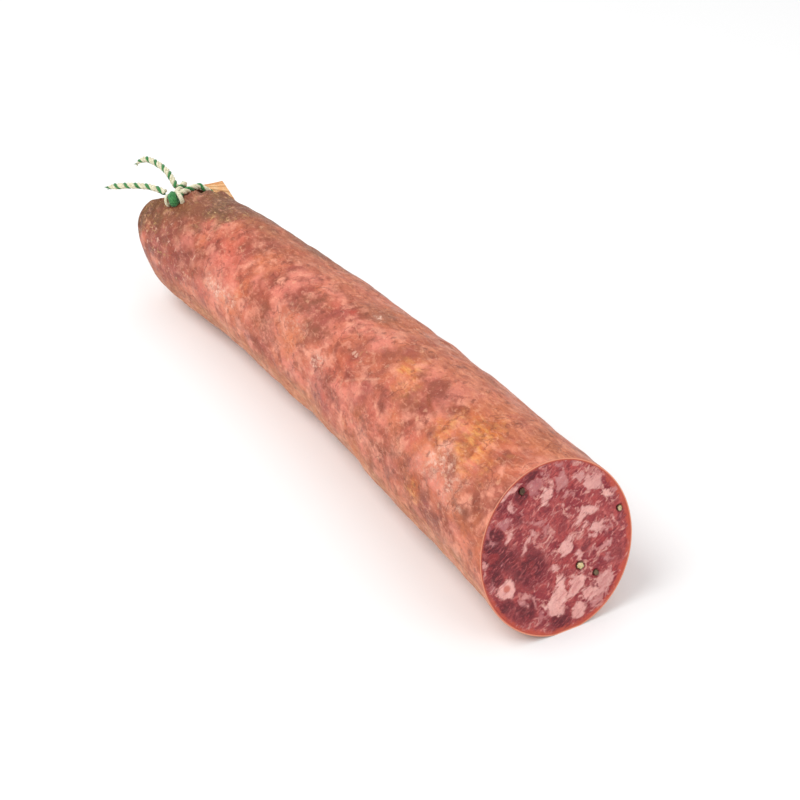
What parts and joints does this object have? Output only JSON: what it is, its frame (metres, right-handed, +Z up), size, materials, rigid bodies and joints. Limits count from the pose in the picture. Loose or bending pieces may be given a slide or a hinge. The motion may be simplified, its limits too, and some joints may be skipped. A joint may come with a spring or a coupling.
{
  "type": "cured sausage",
  "caption": "Half of a cured sausage lying on its side: coarse meat and fat in a dry gut casing, one end cut, the other gathered and tied with two-colour twine.",
  "frame": {"origin": "centre of the underside of the sausage's box, without the two loose twine ends, on the surface it lies on", "axes": "+X along the sausage towards the cut face, +Z up from the surface, +Y across to the left of +X"},
  "size_m": [0.2939, 0.0702, 0.0541],
  "materials": {
    "casing": "dry natural gut, slightly waxy, wrinkled",
    "cured_meat": "moist cut face, dark lean with pale fat",
    "pepper": "dry, cracked",
    "twine": "twisted twine of three strands, one green and two cream"
  },
  "bodies": {
    "root": {"casing": "casing", "filling": "cured_meat", "peppercorn_1": "pepper", "peppercorn_2": "pepper", "peppercorn_3": "pepper", "peppercorn_4": "pepper", "string_tie": "twine", "string_end_left": "twine", "string_end_upper": "twine"}
  },
  "joints": []
}
